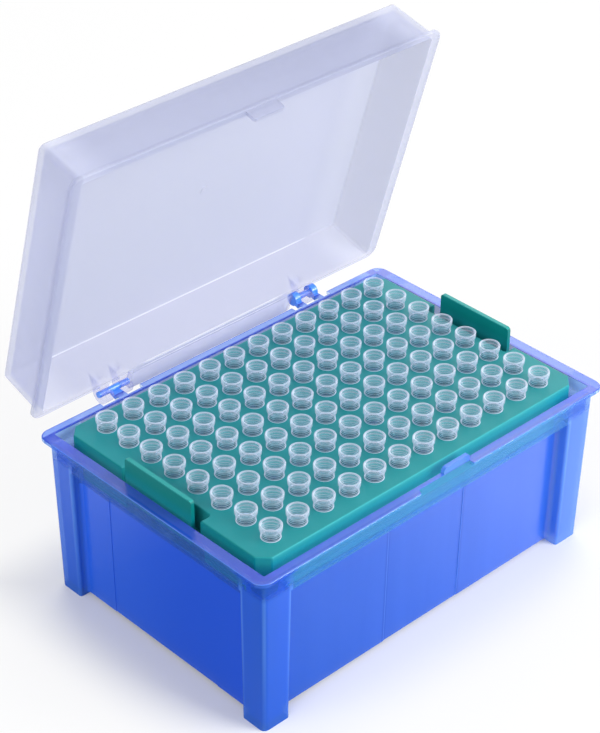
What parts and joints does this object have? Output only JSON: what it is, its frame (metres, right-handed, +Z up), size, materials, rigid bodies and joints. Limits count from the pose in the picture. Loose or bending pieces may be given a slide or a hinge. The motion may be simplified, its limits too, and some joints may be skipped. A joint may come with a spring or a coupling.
{
  "type": "pipette tip box",
  "caption": "Hinged box of pipette tips: pillared blue base, teal rack plate with upright lifting tabs, a tip in every hole and a frosted lid that swings on two clip hinges.",
  "frame": {"origin": "under the middle of the base, on the plane its four feet stand on", "axes": "X along the long side, -Y toward the latch, +Y toward the hinges, +Z up"},
  "size_m": [0.1276, 0.1037, 0.1369],
  "materials": {
    "base_blue": "translucent polypropylene, glossy rim",
    "plate_teal": "satin polypropylene",
    "lid_frosted": "frosted translucent polypropylene",
    "tip_natural": "natural translucent polypropylene"
  },
  "bodies": {
    "base": {"base": "base_blue", "rack_plate": "plate_teal", "tips_column_01": "tip_natural", "tips_column_02": "tip_natural", "tips_column_03": "tip_natural", "tips_column_04": "tip_natural", "tips_column_05": "tip_natural", "tips_column_06": "tip_natural", "tips_column_07": "tip_natural", "tips_column_08": "tip_natural", "tips_column_09": "tip_natural", "tips_column_10": "tip_natural", "tips_column_11": "tip_natural", "tips_column_12": "tip_natural"},
    "lid": {"lid": "lid_frosted"}
  },
  "joints": [
    {"name": "lid_hinge", "type": "hinge", "parent": "base", "child": "lid", "pos_m": [0, 0.0462, 0.0506], "axis": [-1, 0, 0], "range_deg": [-74, 70]}
  ]
}
